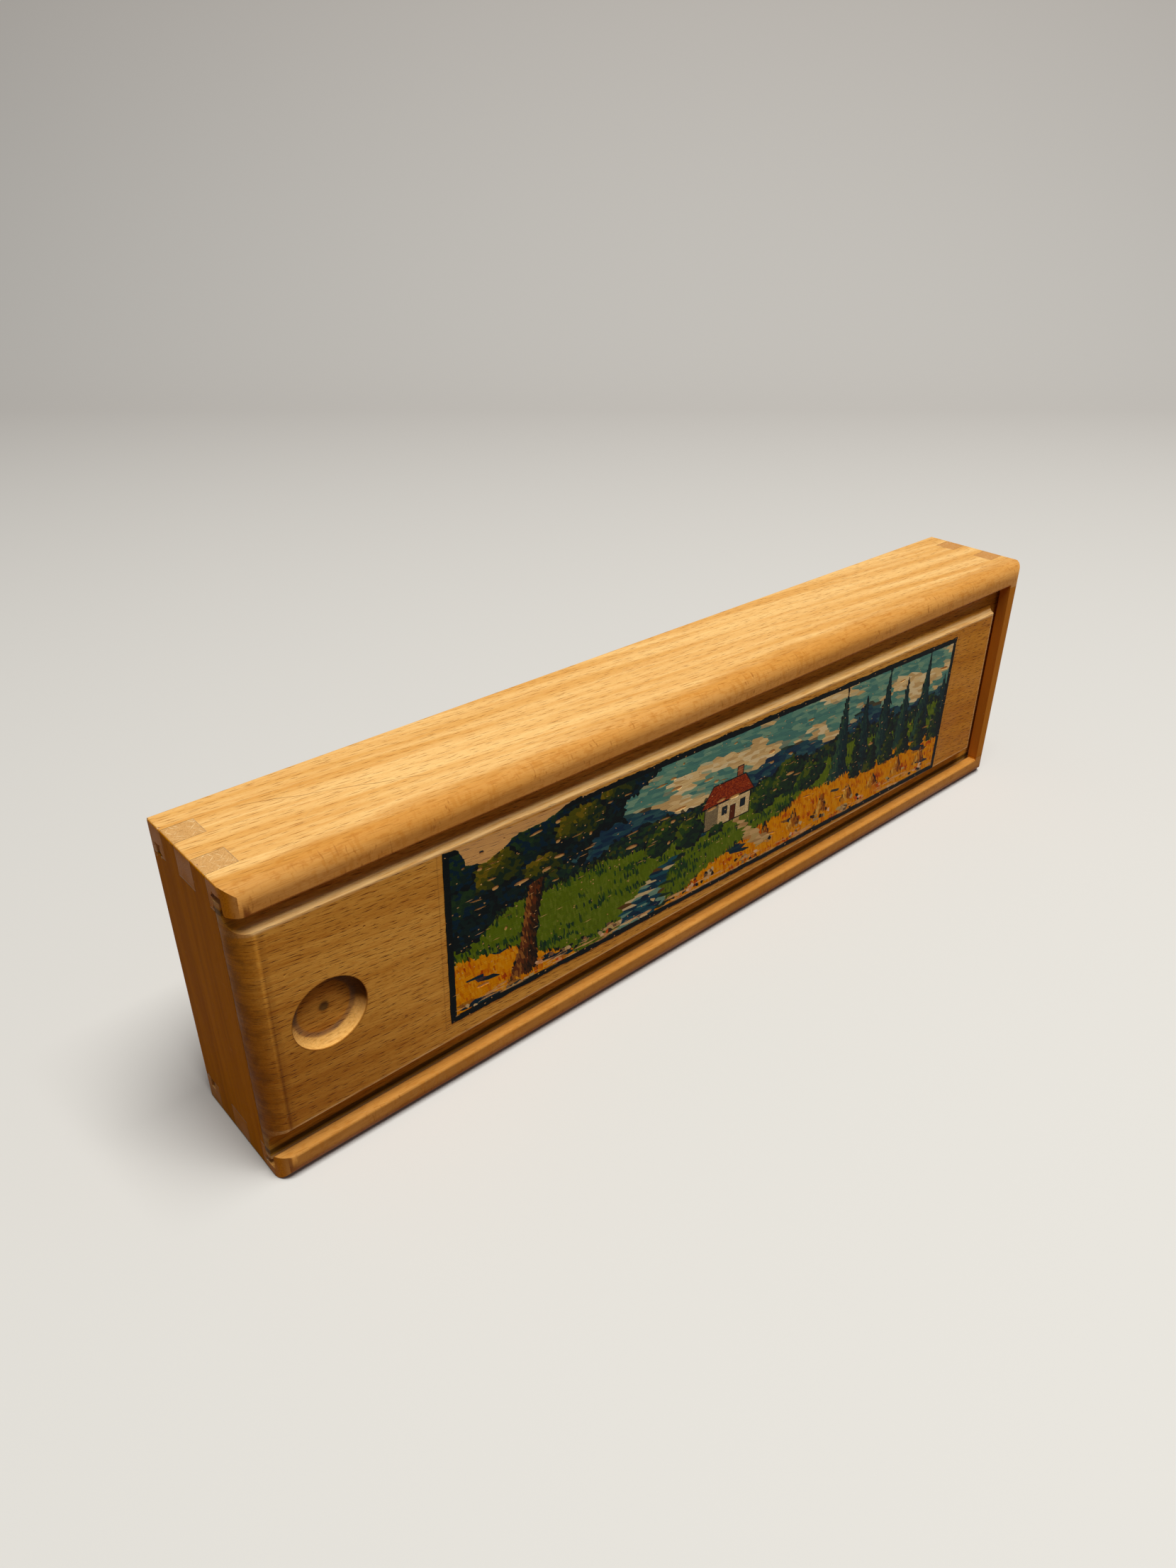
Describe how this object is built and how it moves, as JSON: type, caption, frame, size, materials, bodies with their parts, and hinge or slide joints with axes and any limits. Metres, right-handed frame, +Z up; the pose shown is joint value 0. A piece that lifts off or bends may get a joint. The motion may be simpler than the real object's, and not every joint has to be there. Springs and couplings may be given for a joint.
{
  "type": "wooden pencil case",
  "caption": "Long comb-jointed wooden pencil case with a grooved sliding lid, a round thumb recess and a printed picture on the lid.",
  "frame": {"origin": "centre of the underside of the lower side wall, which the case stands on", "axes": "+X along the case from the open end to the closed end, +Y from the lid to the base panel, +Z up"},
  "size_m": [0.22, 0.0286, 0.0615],
  "materials": {
    "side_wall_wood": "honey-coloured varnish over beech, satin",
    "end_wall_wood": "honey-coloured varnish over beech, satin",
    "base_wood": "thin varnish over plain veneer, matt",
    "divider_wood": "bare beech, matt",
    "lid_wood": "honey-coloured varnish over beech with open dark pores, satin",
    "printed_film": "worn printed transfer under varnish"
  },
  "bodies": {
    "case": {"upper_side_wall": "side_wall_wood", "lower_side_wall": "side_wall_wood", "open_end_wall": "end_wall_wood", "closed_end_wall": "end_wall_wood", "base_panel": "base_wood", "lengthwise_divider": "divider_wood", "cross_divider": "divider_wood"},
    "lid": {"sliding_lid": "lid_wood", "lid_transfer": "printed_film"}
  },
  "joints": [
    {"name": "lid_slide", "type": "slide", "parent": "case", "child": "lid", "axis": [-1, 0, 0], "range_m": [0, 0.222]}
  ]
}
